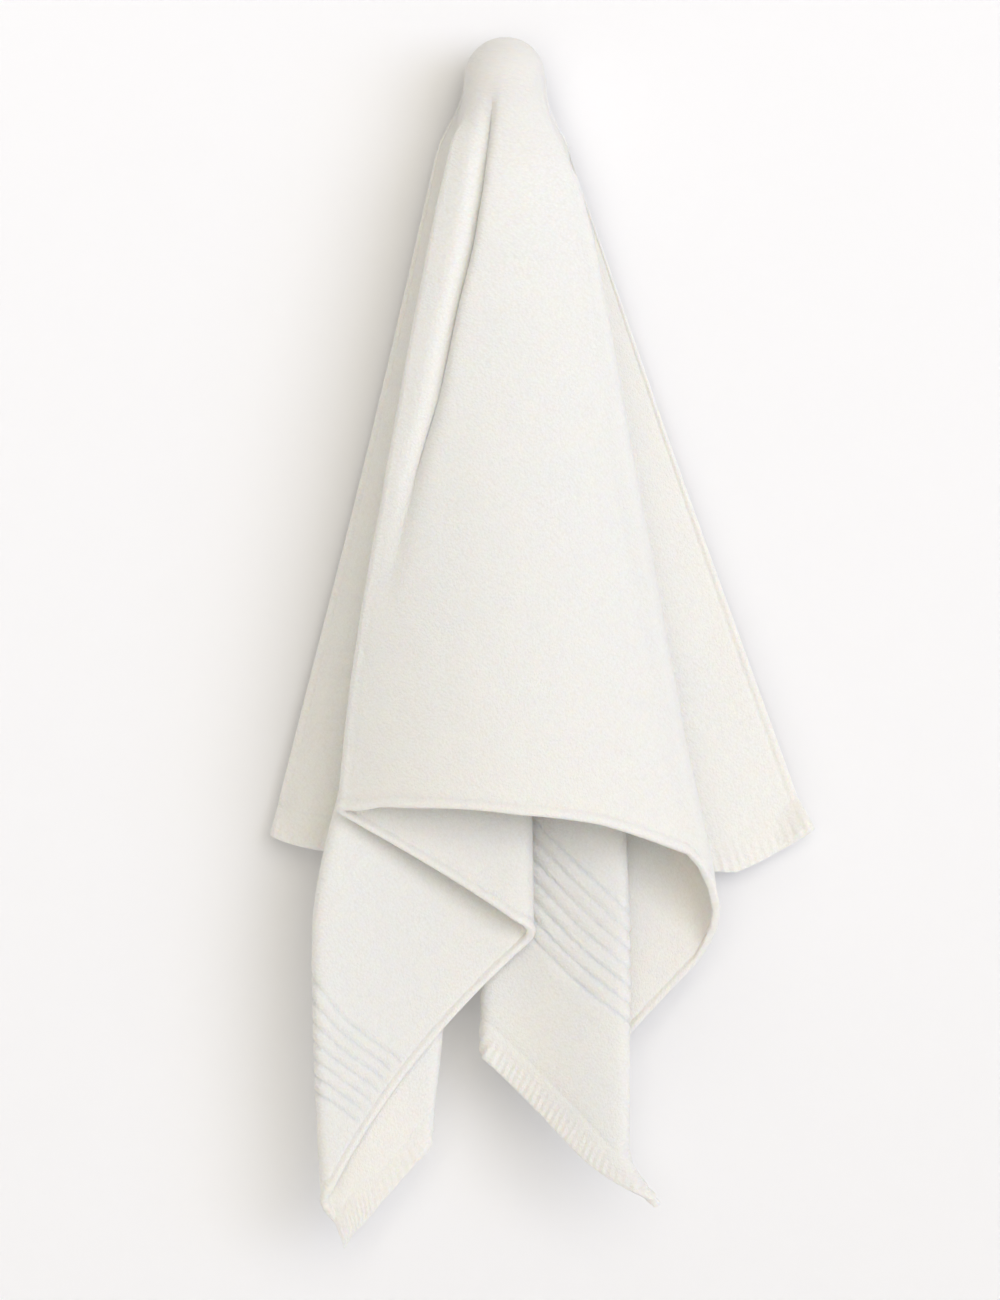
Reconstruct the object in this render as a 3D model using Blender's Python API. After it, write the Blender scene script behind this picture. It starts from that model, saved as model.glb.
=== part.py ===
"""A bath towel hung near its middle over a round-headed wall peg.

The wall is the plane y = 0, the room is towards -Y and +Z is up. The peg's axis is the line x = 0,
z = 0. The towel is one rectangle of terry cloth. It is drawn here by rays: each column of its mesh
starts where the cloth lies on the peg and runs down to the hem, turning through the table of folds.
"""
import math
from typing import NamedTuple

import bmesh
import bpy
import numpy as np

# The peg, turned in one piece, and the round plate that it is fixed to
KNOB_RADIUS = 0.0240
KNOB_REACH = 0.078              # from the wall to the middle of the knob
STEM_RADIUS = 0.0085
COLLAR_RADIUS = 0.0130
COLLAR_LENGTH = 0.006
COLLAR_TAPER = 0.0036           # from the collar down to the stem
PLATE_RADIUS = 0.0260
PLATE_THICKNESS = 0.006
PLATE_BEVEL = 0.0012
SEAT_GAP = 0.0003               # between pieces that touch
TURNED_SEGMENTS = 32
KNOB_RINGS = 12
SMOOTH_ANGLE = 35               # degrees, above which a turned edge is shaded sharp

# The towel's flat size, as distances from the point of the cloth that lies on top of the knob
TO_LEFT_END = 0.641
TO_RIGHT_END = 0.629
TO_FRONT_EDGE = 0.572
TO_BACK_EDGE = 0.128
CLOTH_THICKNESS = 0.0040
HEM_THICKNESS = 0.0054
HEM_WIDTH = 0.010

# Where the cloth lies over the peg
CAP_GAP = 0.0011                # under the cloth, on the knob
CAP_RADIUS = KNOB_RADIUS + CAP_GAP + CLOTH_THICKNESS / 2
TOP = CAP_RADIUS + CLOTH_THICKNESS / 2
RIDGE_SAG = 0.006               # how far the cloth sinks behind the knob
BACK_REACH = 0.016              # from the wall to the back edge, where it crosses the peg
FREE_DROP = 0.060               # below this the cloth hangs clear of the knob
SETTLED_DROP = 0.080            # below this it hangs just as the tables say
CREASE_ROOM = 0.005             # half the least width in which a crease can turn
CREASE_BULGE = 0.015            # the most that a wide crease's side swells
BULGE_SHARE = 0.45              # the most of a layer's width that a crease's side takes
LEAST_FAN = 0.026               # of cloth between a back layer's crease and the knob
EVENING_PASSES = 24
OVER_STEPS = 12                 # in the quarter turn of each column over the peg
DROP_STEP = 0.004               # between the places worked out down the hang
LOWEST_DROP = 0.960

# Drops below the top of the towel at which the tables give a fold's place
ACROSS_DROPS = (0.060, 0.130, 0.300, 0.500, 0.650, 0.800, 0.870)
REACH_DROPS = (0.060, 0.130, 0.600)


class Fold(NamedTuple):
    """A crease that runs down from the peg, where the cloth turns back on itself."""
    name: str
    angle: float        # degrees in the flat cloth, from straight down the front, right positive
    across: tuple       # x of the outside of the crease, at the ACROSS_DROPS
    before: tuple       # reach from the wall of the layer before it, at the REACH_DROPS
    after: tuple        # reach from the wall of the layer after it, at the REACH_DROPS


class Layer(NamedTuple):
    """The cloth between two creases."""
    name: str
    shares: tuple       # of its width, at which it has a mesh column
    bow: tuple          # how far it swells to the front, at the REACH_DROPS
    peak: float         # where it swells most, as a share of its width


# From the left back edge to the right back edge. Odd rows turn at the right, even ones at the left.
FOLDS = (
    Fold("left back", -79.8, (-0.030, -0.012, 0.002, 0.014, 0.020, 0.024, 0.025),
         (0.038, 0.036, 0.038), (0.042, 0.045, 0.050)),
    Fold("left inner", -64.0, (-0.034, -0.042, -0.072, -0.102, -0.116, -0.120, -0.120),
         (0.048, 0.047, 0.060), (0.052, 0.056, 0.072)),
    Fold("left tail", -54.5, (-0.030, -0.024, -0.038, -0.050, -0.051, -0.053, -0.056),
         (0.058, 0.058, 0.068), (0.062, 0.068, 0.080)),
    Fold("left corner", -46.6,
         (-0.034, -0.046, -0.076, -0.108, -0.137, -0.133, -0.127),
         (0.068, 0.070, 0.084), (0.072, 0.080, 0.097)),
    Fold("left rolled", -29.5, (-0.027, -0.008, 0.004, 0.016, 0.019, 0.018, 0.018),
         (0.078, 0.084, 0.090), (0.082, 0.094, 0.112)),
    Fold("front left", -12.0, (-0.033, -0.049, -0.081, -0.113, -0.123, -0.123, -0.123),
         (0.088, 0.094, 0.110), (0.092, 0.103, 0.124)),
    Fold("front right", 25.5, (0.037, 0.058, 0.090, 0.127, 0.153, 0.150, 0.150),
         (0.092, 0.100, 0.128), (0.088, 0.084, 0.062)),
    Fold("right inner", 42.5, (0.032, 0.044, 0.060, 0.060, 0.054, 0.043, 0.040),
         (0.086, 0.083, 0.068), (0.084, 0.084, 0.080)),
    Fold("right corner", math.degrees(math.atan2(TO_RIGHT_END, TO_FRONT_EDGE)),
         (0.032, 0.042, 0.062, 0.080, 0.088, 0.088, 0.132),
         (0.082, 0.085, 0.084), (0.080, 0.087, 0.096)),
    Fold("right tail", 58.5, (0.031, 0.012, 0.000, -0.010, -0.016, -0.016, -0.016),
         (0.076, 0.072, 0.073), (0.072, 0.060, 0.060)),
    Fold("right pleat", 73.8, (0.033, 0.044, 0.070, 0.104, 0.130, 0.140, 0.140),
         (0.062, 0.061, 0.054), (0.058, 0.052, 0.043)),
    Fold("right back", 84.1, (0.031, 0.014, 0.022, 0.032, 0.040, 0.044, 0.044),
         (0.048, 0.048, 0.042), (0.044, 0.039, 0.032)),
)
LEFT_EDGE = Fold("left edge", -90.0, (-0.043, -0.059, -0.099, -0.150, -0.188, -0.226, -0.244),
                 (0.016, 0.016, 0.018), (0.016, 0.016, 0.018))
RIGHT_EDGE = Fold("right edge", 90.0, (0.039, 0.064, 0.123, 0.195, 0.249, 0.303, 0.328),
                  (0.016, 0.016, 0.018), (0.016, 0.016, 0.018))
LAYERS = (
    Layer("left back", (0.0, 0.35, 0.70), (0.0, 0.008, 0.024), 0.22),
    Layer("left sixth", (0.33, 0.67), (0.0, 0.0, 0.0), 0.5),
    Layer("left fifth", (0.5,), (0.0, 0.0, 0.0), 0.5),
    Layer("left fourth", (0.4, 0.8), (0.0, 0.0, 0.002), 0.5),
    Layer("left third", (0.25, 0.5, 0.75), (0.0, 0.0, -0.004), 0.5),
    Layer("left second", (0.25, 0.5, 0.75), (0.0, 0.0, 0.0), 0.5),
    Layer("front", (0.10, 0.20, 0.30, 0.335, 0.38, 0.46, 0.56, 0.67, 0.78, 0.90), (0.014, 0.014, 0.050), 0.5),
    Layer("right second", (0.33, 0.67), (0.0, 0.0, 0.0), 0.5),
    Layer("right nested", (0.5,), (0.0, 0.0, 0.0), 0.5),
    Layer("right third", (0.25, 0.5, 0.75), (0.0, 0.0, 0.0), 0.5),
    Layer("right fourth", (0.33, 0.67), (0.0, 0.0, 0.0), 0.5),
    Layer("right fifth", (0.5,), (0.0, 0.0, 0.0), 0.5),
    Layer("right back", (0.30, 0.65, 1.0), (0.0, 0.0, 0.006), 0.65),
)
STRIPS = (0.25, 0.5, 0.75, 1.0)     # a back layer's columns behind the knob, as shares of the way to its edge
TURN_COLUMNS = 5                    # across each crease

# The long valley beside the front's left crease
VALLEY_ACROSS = (-0.007, -0.015, -0.054, -0.092, -0.105, -0.105, -0.105)
VALLEY_DEPTH = (0.004, 0.011, 0.011, 0.005, 0.001, 0.0, 0.0)
VALLEY_WIDTH = 0.008
VALLEY_SHARE = 0.30             # of the front layer's columns, the one that runs down the valley

# How much longer the hung cloth is than the flat, by angle: it gives along its bias
GIVE_BY_ANGLE = (
    (-101.3, 0.945),
    (-96.0, 0.960),
    (-80.0, 1.000),
    (-54.0, 1.045),
    (-48.3, 1.046),
    (-29.5, 1.012),
    (-12.0, 0.996),
    (-4.0, 1.004),
    (6.0, 1.006),
    (14.0, 0.996),
    (24.0, 0.998),
    (30.0, 1.022),
    (47.7, 1.010),
    (58.5, 1.020),
    (72.0, 1.000),
    (96.0, 1.015),
    (101.5, 0.980),
)

# Rows of the mesh: distances down the first stretch, then shares of what is left
CAP_ROWS = (0.010, 0.020, 0.030, 0.040, 0.050, 0.062, 0.076, 0.092, 0.112)
LOWER_ROWS = 12

KNOB_COLOUR = (0.62, 0.61, 0.59, 1.0)
CLOTH_COLOUR = (0.85, 0.82, 0.76, 1.0)


def clear_scene():
    for thing in list(bpy.data.objects):
        bpy.data.objects.remove(thing, do_unlink=True)


def make_material(name, colour, roughness, metallic):
    material = bpy.data.materials.new(name)
    material.use_nodes = True
    shader = material.node_tree.nodes["Principled BSDF"]
    shader.inputs["Base Color"].default_value = colour
    shader.inputs["Roughness"].default_value = roughness
    shader.inputs["Metallic"].default_value = metallic
    return material


def add_object(name, mesh, material):
    thing = bpy.data.objects.new(name, mesh)
    bpy.context.scene.collection.objects.link(thing)
    mesh.materials.append(material)
    return thing


def turned_solid(name, profile, material):
    """Spins a profile of (reach from the wall, radius) pairs round the peg's axis."""
    solid = bmesh.new()
    ends = (0, len(profile) - 1)
    rings = []
    for index, (reach, radius) in enumerate(profile):
        if index in ends and radius == 0.0:
            rings.append([solid.verts.new((0.0, -reach, 0.0))])
            continue
        ring = []
        for step in range(TURNED_SEGMENTS):
            turn = 2 * math.pi * step / TURNED_SEGMENTS
            ring.append(solid.verts.new((radius * math.cos(turn), -reach, radius * math.sin(turn))))
        rings.append(ring)
    for ring, following in zip(rings, rings[1:]):
        for step in range(TURNED_SEGMENTS):
            after = (step + 1) % TURNED_SEGMENTS
            corners = [ring[step % len(ring)], ring[after % len(ring)],
                       following[after % len(following)], following[step % len(following)]]
            solid.faces.new(list(dict.fromkeys(corners)))
    for ring in (rings[0], rings[-1]):
        if len(ring) > 1:
            solid.faces.new(ring)
    bmesh.ops.recalc_face_normals(solid, faces=solid.faces)
    mesh = bpy.data.meshes.new(name)
    solid.to_mesh(mesh)
    solid.free()
    mesh.shade_smooth()
    mesh.set_sharp_from_angle(angle=math.radians(SMOOTH_ANGLE))
    return add_object(name, mesh, material)


def wall_plate(material):
    profile = [
        (0.0, PLATE_RADIUS),
        (PLATE_THICKNESS - PLATE_BEVEL, PLATE_RADIUS),
        (PLATE_THICKNESS, PLATE_RADIUS - PLATE_BEVEL),
    ]
    return turned_solid("wall_plate", profile, material)


def peg(material):
    """The stem with its collar, and the round knob at the front."""
    start = PLATE_THICKNESS + SEAT_GAP
    neck = math.asin(STEM_RADIUS / KNOB_RADIUS)
    profile = [
        (start, COLLAR_RADIUS),
        (start + COLLAR_LENGTH, COLLAR_RADIUS),
        (start + COLLAR_LENGTH + COLLAR_TAPER, STEM_RADIUS),
    ]
    for step in range(KNOB_RINGS + 1):
        turn = neck + (math.pi - neck) * step / KNOB_RINGS
        radius = KNOB_RADIUS * math.sin(turn) if step < KNOB_RINGS else 0.0
        profile.append((KNOB_REACH - KNOB_RADIUS * math.cos(turn), radius))
    return turned_solid("peg", profile, material)


def through(stations, values, at):
    """A smooth curve through a table's values that never swings past them, straight before the first."""
    stations = np.asarray(stations)
    values = np.asarray(values)
    chords = np.diff(values) / np.diff(stations)
    product = chords[:-1] * chords[1:]
    total = np.where(product > 0, chords[:-1] + chords[1:], 1.0)
    inner = np.where(product > 0, 2 * product / total, 0.0)
    slopes = np.concatenate((chords[:1], inner, chords[-1:]))
    index = np.clip(np.searchsorted(stations, at) - 1, 0, len(stations) - 2)
    span = stations[index + 1] - stations[index]
    share = np.clip((at - stations[index]) / span, 0.0, 1.0)
    rise = values[index + 1] - values[index]
    start = slopes[index] * span
    end = slopes[index + 1] * span
    inside = (values[index] + start * share + (3 * rise - 2 * start - end) * share ** 2
              + (start + end - 2 * rise) * share ** 3)
    beyond = np.where(at < stations[0], (at - stations[0]) * slopes[0], 0.0)
    return inside + beyond


def ease(share):
    share = np.clip(share, 0.0, 1.0)
    return share * share * (3 - 2 * share)


def swell(share, peak):
    """A smooth hump, nothing at both ends and one at its peak."""
    if peak > 0.5:
        return swell(1 - share, 1 - peak)
    power = 1 / peak - 1
    return share * (1 - share) ** power / (peak * (1 - peak) ** power)


class Creases:
    """Each crease's place at a run of drops: its bulge's centre, its depth and both layers."""

    def __init__(self, drops):
        rows = (LEFT_EDGE,) + FOLDS + (RIGHT_EDGE,)
        self.outside = np.array([through(ACROSS_DROPS, row.across, drops) for row in rows])
        self.before = np.array([through(REACH_DROPS, row.before, drops) for row in rows])
        self.after = np.array([through(REACH_DROPS, row.after, drops) for row in rows])
        self.side = np.array([1.0 if number % 2 else -1.0 for number in range(len(rows))])
        self.bulge = np.zeros_like(self.outside)
        self.tight = np.zeros_like(self.outside)
        for number in range(1, len(rows) - 1):
            stand = self.side[number] * (self.outside[number] - self.outside[[number - 1, number + 1]])
            room = BULGE_SHARE * stand.min(axis=0)
            half = np.abs(self.after[number] - self.before[number]) / 2
            self.bulge[number] = np.clip(room, 0.0, np.minimum(half, CREASE_BULGE))
            self.tight[number] = 1 - ease(room / CREASE_ROOM)
        self.centre = self.outside - self.side[:, None] * self.bulge

    def on_turn(self, number, turn):
        """The point of a crease at a turn from -90 to 90 degrees round it."""
        middle = (self.before[number] + self.after[number]) / 2
        half = (self.after[number] - self.before[number]) / 2
        across = self.centre[number] + self.side[number] * self.bulge[number] * math.cos(turn)
        return across, middle + half * math.sin(turn)

    def arc(self, number):
        """Half the length of cloth that a crease takes up."""
        half = np.abs(self.after[number] - self.before[number]) / 2
        return math.pi / 4 * (half + self.bulge[number])


class Column(NamedTuple):
    """One line of the mesh, from the peg to the hem: on a crease, or inside a layer."""
    crease: int         # the crease that it lies on, or the one before its layer
    turn: float         # radians round the crease, or None inside a layer
    share: float        # of the way across the layer
    strip: float        # of the way from the knob to the back edge, or None where it starts on the knob


def list_columns():
    last = len(FOLDS)
    turns = [math.radians(-90 + 180 * step / (TURN_COLUMNS - 1)) for step in range(TURN_COLUMNS)]
    columns = [Column(0, None, 0.0, strip) for strip in reversed(STRIPS)]
    for number, layer in enumerate(LAYERS):
        columns += [Column(number, None, share, None) for share in layer.shares]
        if number < last:
            columns += [Column(number + 1, turn, 0.0, None) for turn in turns]
    columns += [Column(last, None, 1.0, strip) for strip in STRIPS]
    return columns


def layer_share(column, creases, drops):
    """How far across its layer a column lies at each drop, with a back layer's strip included."""
    last = len(FOLDS)
    if LAYERS[column.crease].name == "front":
        start, end = creases.centre[column.crease], creases.centre[column.crease + 1]
        valley = (through(ACROSS_DROPS, VALLEY_ACROSS, drops) - start) / (end - start)
        if column.share < VALLEY_SHARE:
            return valley * column.share / VALLEY_SHARE
        return valley + (1 - valley) * (column.share - VALLEY_SHARE) / (1 - VALLEY_SHARE)
    if column.crease not in (0, last):
        return np.full_like(drops, column.share)
    end = 1 if column.crease == 0 else last
    fold = FOLDS[end - 1]
    fan = np.radians(90 - abs(fold.angle)) * drops - creases.arc(end)
    fan = np.maximum(fan, LEAST_FAN)
    from_knob = TO_BACK_EDGE * (column.strip or 0.0)
    if column.crease == 0:
        return (TO_BACK_EDGE - from_knob + fan * column.share) / (TO_BACK_EDGE + fan)
    return (fan * column.share + from_knob) / (TO_BACK_EDGE + fan)


def hung_line(column, creases, drops):
    """Where a column hangs at each drop, as x and as reach from the wall."""
    if column.turn is not None:
        return creases.on_turn(column.crease, column.turn)
    share = layer_share(column, creases, drops)
    layer = LAYERS[column.crease]
    start, end = column.crease, column.crease + 1
    across = creases.centre[start] * (1 - share) + creases.centre[end] * share
    rise = creases.before[end] - creases.after[start]
    reach = creases.after[start] + rise * ease(share)
    reach = reach + through(REACH_DROPS, layer.bow, drops) * swell(share, layer.peak)
    if layer.name == "front":
        offset = (across - through(ACROSS_DROPS, VALLEY_ACROSS, drops)) / VALLEY_WIDTH
        reach = reach - through(ACROSS_DROPS, VALLEY_DEPTH, drops) * np.exp(-offset ** 2)
    return across, reach


def hung_lines(columns, creases, drops):
    """All columns' hanging lines, evened out where a crease has no room to turn yet."""
    lines = np.array([hung_line(column, creases, drops) for column in columns])
    tight = []
    for column in columns:
        if column.turn is not None:
            tight.append(creases.tight[column.crease])
        else:
            tight.append(np.maximum(creases.tight[column.crease], creases.tight[column.crease + 1]))
    pull = 0.5 * np.array(tight)[1:-1, None, :]
    for _ in range(EVENING_PASSES):
        lines[1:-1] += pull * ((lines[:-2] + lines[2:]) / 2 - lines[1:-1])
    return lines


def cloth_angle(column, creases, distance, drops):
    """The angle in the flat cloth of a column, at a distance down it."""
    rows = (LEFT_EDGE,) + FOLDS + (RIGHT_EDGE,)
    widths = [0.0, 0.0]
    for place, number in enumerate((column.crease, column.crease + 1)):
        if 0 < number <= len(FOLDS):
            arc = np.interp(distance, drops, creases.arc(number))
            widths[place] = math.degrees(arc / distance)
    if column.turn is not None:
        return rows[column.crease].angle + widths[0] * column.turn / (math.pi / 2)
    start = rows[column.crease].angle + widths[0]
    end = rows[column.crease + 1].angle - widths[1]
    share = column.share
    if LAYERS[column.crease].name == "front":
        share = np.interp(distance, drops, layer_share(column, creases, drops))
    return start + (end - start) * share


def to_hem(angle):
    """From the knob to the cloth's edge along a ray of the flat cloth."""
    ray = math.radians(angle)
    to_end = TO_RIGHT_END if angle > 0 else TO_LEFT_END
    lengths = [to_end / max(abs(math.sin(ray)), 1e-6)]
    if math.cos(ray) > 1e-6:
        lengths.append(TO_FRONT_EDGE / math.cos(ray))
    return min(lengths)


def column_length(column, creases, drops):
    """The length of cloth down a column, and its ray's angle at the hem."""
    if column.strip is not None:
        to_end = TO_LEFT_END if column.crease == 0 else TO_RIGHT_END
        angle = 90 + math.degrees(math.atan2(TO_BACK_EDGE * column.strip, to_end))
        return to_end, -angle if column.crease == 0 else angle
    length = TO_FRONT_EDGE
    for _ in range(6):
        angle = cloth_angle(column, creases, length, drops)
        length = to_hem(angle)
    return length, angle


def on_cap(across, reach):
    """The nearest place on the outline of the cloth over the peg, seen from above."""
    forward = reach - KNOB_REACH
    if forward <= 0:
        return math.copysign(CAP_RADIUS, across), reach
    size = math.hypot(across, forward)
    return CAP_RADIUS * across / size, KNOB_REACH + CAP_RADIUS * forward / size


def column_path(column, hung_line, drops):
    """A dense line of points down a column, from the top of the peg to below the hem."""
    across, reach = hung_line
    free = int(np.searchsorted(drops, FREE_DROP))
    side_across, side_reach = on_cap(across[free], reach[free])
    behind = column.strip or 0.0
    top_reach = KNOB_REACH + (BACK_REACH - KNOB_REACH) * behind
    top_height = CAP_RADIUS - RIDGE_SAG * ease(behind)
    points = []
    for step in range(OVER_STEPS + 1):
        turn = math.radians(90 * step / OVER_STEPS)
        points.append((side_across * math.sin(turn),
                       -(top_reach + (side_reach - top_reach) * math.sin(turn)),
                       top_height * math.cos(turn)))
    blend = ease((drops - TOP) / (SETTLED_DROP - TOP))
    for x, y, drop, share in zip(across, reach, drops, blend):
        points.append((side_across + (x - side_across) * share,
                       -(side_reach + (y - side_reach) * share),
                       TOP - drop))
    return np.array(points)


def column_points(column, hung_line, creases, drops):
    """The rows' points on one column, hem last."""
    length, angle = column_length(column, creases, drops)
    give = np.interp(angle, *zip(*GIVE_BY_ANGLE))
    lower = CAP_ROWS[-1] + (length - CAP_ROWS[-1]) * np.arange(1, LOWER_ROWS + 1) / LOWER_ROWS
    lower = np.insert(lower, -1, length - HEM_WIDTH)
    distances = np.concatenate(((0.0,), CAP_ROWS, lower)) * give
    path = column_path(column, hung_line, drops)
    steps = np.linalg.norm(np.diff(path, axis=0), axis=1)
    travelled = np.concatenate(((0.0,), np.cumsum(steps)))
    return np.column_stack([np.interp(distances, travelled, path[:, axis]) for axis in range(3)])


def middle_surface():
    """The cloth's middle surface: points, faces, and the points that lie in its hem."""
    drops = np.arange(TOP + SEAT_GAP, LOWEST_DROP, DROP_STEP)
    creases = Creases(drops)
    columns = list_columns()
    lines = hung_lines(columns, creases, drops)
    grid = [column_points(column, line, creases, drops) for column, line in zip(columns, lines)]
    points = []
    index = np.zeros((len(columns), len(grid[0])), int)
    tops = {}
    for number, (column, line) in enumerate(zip(columns, grid)):
        top = column.strip or 0.0
        if top not in tops:
            tops[top] = len(points)
            points.append(line[0])
        index[number, 0] = tops[top]
        for row in range(1, len(line)):
            index[number, row] = len(points)
            points.append(line[row])
    faces = []
    for number in range(len(columns) - 1):
        for row in range(index.shape[1] - 1):
            corners = [index[number, row], index[number, row + 1],
                       index[number + 1, row + 1], index[number + 1, row]]
            faces.append([int(corner) for corner in dict.fromkeys(corners)])
    hem = set(index[:, -2:].ravel().tolist()) | set(index[[0, -1], 1:].ravel().tolist())
    return np.array(points), faces, hem


def towel(material):
    """Thickens the middle surface both ways, and closes it round its edge."""
    points, faces, hem = middle_surface()
    sheet = bmesh.new()
    middle = [sheet.verts.new(point) for point in points]
    for face in faces:
        sheet.faces.new([middle[corner] for corner in face])
    sheet.normal_update()
    sheet.verts.index_update()
    outside = []
    inside = []
    for number, vertex in enumerate(middle):
        half = (HEM_THICKNESS if number in hem else CLOTH_THICKNESS) / 2
        outside.append(vertex.co + vertex.normal * half)
        inside.append(vertex.co - vertex.normal * half)
    border = [(edge.verts[0].index, edge.verts[1].index, edge.link_faces[0])
              for edge in sheet.edges if edge.is_boundary]
    rims = []
    for first, second, face in border:
        order = [vertex.index for vertex in face.verts]
        if order[(order.index(first) + 1) % len(order)] != second:
            first, second = second, first
        rims.append((first, second))
    sheet.free()
    solid = bmesh.new()
    front = [solid.verts.new(place) for place in outside]
    rear = [solid.verts.new(place) for place in inside]
    for face in faces:
        solid.faces.new([front[corner] for corner in face])
        solid.faces.new([rear[corner] for corner in reversed(face)])
    for first, second in rims:
        solid.faces.new([front[second], front[first], rear[first], rear[second]])
    bmesh.ops.triangulate(solid, faces=solid.faces)
    bmesh.ops.recalc_face_normals(solid, faces=solid.faces)
    mesh = bpy.data.meshes.new("towel")
    solid.to_mesh(mesh)
    solid.free()
    mesh.shade_smooth()
    return add_object("towel", mesh, material)


clear_scene()
metal = make_material("satin metal", KNOB_COLOUR, 0.32, 1.0)
terry = make_material("terry cloth", CLOTH_COLOUR, 0.95, 0.0)
wall_plate(metal)
peg(metal)
towel(terry)
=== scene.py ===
"""A warm white terry bath towel that hangs over a round-headed wall peg.

The wall is the plane y = 0, the room is towards -Y and +Z is up. The peg's axis is the line x = 0, z = 0.
Everything is in metres.
"""
import math
from typing import NamedTuple

import bmesh
import bpy
import numpy as np
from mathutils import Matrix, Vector, noise


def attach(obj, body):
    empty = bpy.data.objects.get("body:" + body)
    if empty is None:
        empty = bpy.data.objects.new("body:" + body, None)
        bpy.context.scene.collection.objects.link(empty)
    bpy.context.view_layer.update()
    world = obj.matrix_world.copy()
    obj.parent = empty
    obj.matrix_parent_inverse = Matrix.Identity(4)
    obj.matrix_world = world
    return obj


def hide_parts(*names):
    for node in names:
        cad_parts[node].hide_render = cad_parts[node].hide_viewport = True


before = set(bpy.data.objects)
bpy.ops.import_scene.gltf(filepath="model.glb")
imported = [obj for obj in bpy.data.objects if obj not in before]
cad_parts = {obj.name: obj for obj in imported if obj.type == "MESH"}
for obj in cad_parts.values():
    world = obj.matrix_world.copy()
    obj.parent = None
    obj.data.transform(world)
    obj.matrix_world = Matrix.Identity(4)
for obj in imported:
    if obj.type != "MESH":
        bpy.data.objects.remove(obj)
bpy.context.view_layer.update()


# The wall plate and the peg are solid aluminium, turned on a lathe and finished satin. The plate lies flat
# on the wall, held by a screw behind it, and the peg's collar seats on the plate.
TURNING_PITCH = 0.005655        # the real marks are 0.1 mm apart, too fine to show: these are broad rings
TURNING_DEPTH = 0.00003
WAVE_LENGTH = 2 * math.pi / 20  # of Blender's wave texture at a scale of one


def linear(code):
    """The linear colour of an sRGB hex code."""
    channels = [int(code[place:place + 2], 16) / 255 for place in (1, 3, 5)]
    return [c / 12.92 if c <= 0.04045 else ((c + 0.055) / 1.055) ** 2.4 for c in channels] + [1.0]


def add_node(tree, kind, inputs=None, **settings):
    """Adds a node with its settings. Each input is given a value, or linked to another node's output."""
    made = tree.nodes.new(kind)
    for name, value in settings.items():
        setattr(made, name, value)
    for name, value in (inputs or {}).items():
        if isinstance(value, bpy.types.NodeSocket):
            tree.links.new(value, made.inputs[name])
        else:
            made.inputs[name].default_value = value
    return made


def satin_turned_aluminium():
    """Aluminium with fine rings from the lathe: a soft grey gloss, drawn out across the rings."""
    material = bpy.data.materials.new("satin turned aluminium")
    material.use_nodes = True
    tree = material.node_tree
    shader = tree.nodes["Principled BSDF"]
    shader.inputs["Metallic"].default_value = 1.0
    place = add_node(tree, "ShaderNodeTexCoord").outputs["Object"]
    rings = add_node(tree, "ShaderNodeTexWave", {
        "Vector": place, "Scale": WAVE_LENGTH / TURNING_PITCH, "Distortion": 0.4, "Detail": 2.0,
    }, wave_type="RINGS", rings_direction="Y")
    wear = add_node(tree, "ShaderNodeTexNoise", {"Vector": place, "Scale": 90.0, "Detail": 4.0})
    colour = add_node(tree, "ShaderNodeMix", {
        "Factor": wear.outputs["Fac"], "A": linear("#C9C7C2"), "B": linear("#D6D4CF"),
    }, data_type="RGBA")
    rough = add_node(tree, "ShaderNodeMapRange", {
        "Value": wear.outputs["Fac"], "To Min": 0.26, "To Max": 0.38,
    })
    bump = add_node(tree, "ShaderNodeBump", {
        "Height": rings.outputs["Fac"], "Distance": TURNING_DEPTH, "Strength": 0.6,
    })
    tree.links.new(colour.outputs["Result"], shader.inputs["Base Color"])
    tree.links.new(rough.outputs["Result"], shader.inputs["Roughness"])
    tree.links.new(bump.outputs["Normal"], shader.inputs["Normal"])
    return material


aluminium = satin_turned_aluminium()
for name in ("wall_plate", "peg"):
    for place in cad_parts[name].material_slots:
        place.material = aluminium


# The towel is one rectangle of cotton terry, woven with loops on both faces, hung near the middle of a long
# edge over the peg. It is drawn here along the rays of the flat cloth that run down from the peg to the hems.
TO_LEFT_END = 0.641             # flat distances from the point of the cloth on top of the knob
TO_RIGHT_END = 0.629
TO_FRONT_EDGE = 0.572
TO_BACK_EDGE = 0.128

KNOB_RADIUS = 0.0240
KNOB_REACH = 0.078              # from the wall to the middle of the knob
CLOTH_THICKNESS = 0.0040
CAP_GAP = 0.0011                # under the cloth, on the knob
CAP_RADIUS = KNOB_RADIUS + CAP_GAP + CLOTH_THICKNESS / 2
TOP = CAP_RADIUS + CLOTH_THICKNESS / 2
RIDGE_SAG = 0.006               # how far the cloth sinks behind the knob
BACK_REACH = 0.016              # from the wall to the back edge, where it crosses the peg
FREE_DROP = 0.060               # below this the cloth hangs clear of the knob
SETTLED_DROP = 0.080            # below this it hangs just as the tables say
CREASE_ROOM = 0.005             # half the least width in which a crease can turn
CREASE_BULGE = 0.015            # the most that a wide crease's side swells
BULGE_SHARE = 0.45              # the most of a layer's width that a crease's side takes
LEAST_FAN = 0.026               # of cloth between a back layer's crease and the knob
CREASE_ANGLE_SHARE = 0.4        # the most of the angle to the next crease that half a crease takes up
EVENING_PASSES = 1700
EVENING_PULL = 0.5              # of the way to the middle of a point's neighbours, in each pass
HEM_PASSES = 6                  # to find a column's ray at the hem
OVER_STEPS = 24                 # in the quarter turn of each column over the peg
FIRST_DROP = TOP + 0.0003       # where the hang starts, just clear of the turn over the peg
DROP_STEP = 0.003               # between the places worked out down the hang
LOWEST_DROP = 0.970
NEARLY_NOTHING = 1e-6           # nothing is divided by less

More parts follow.
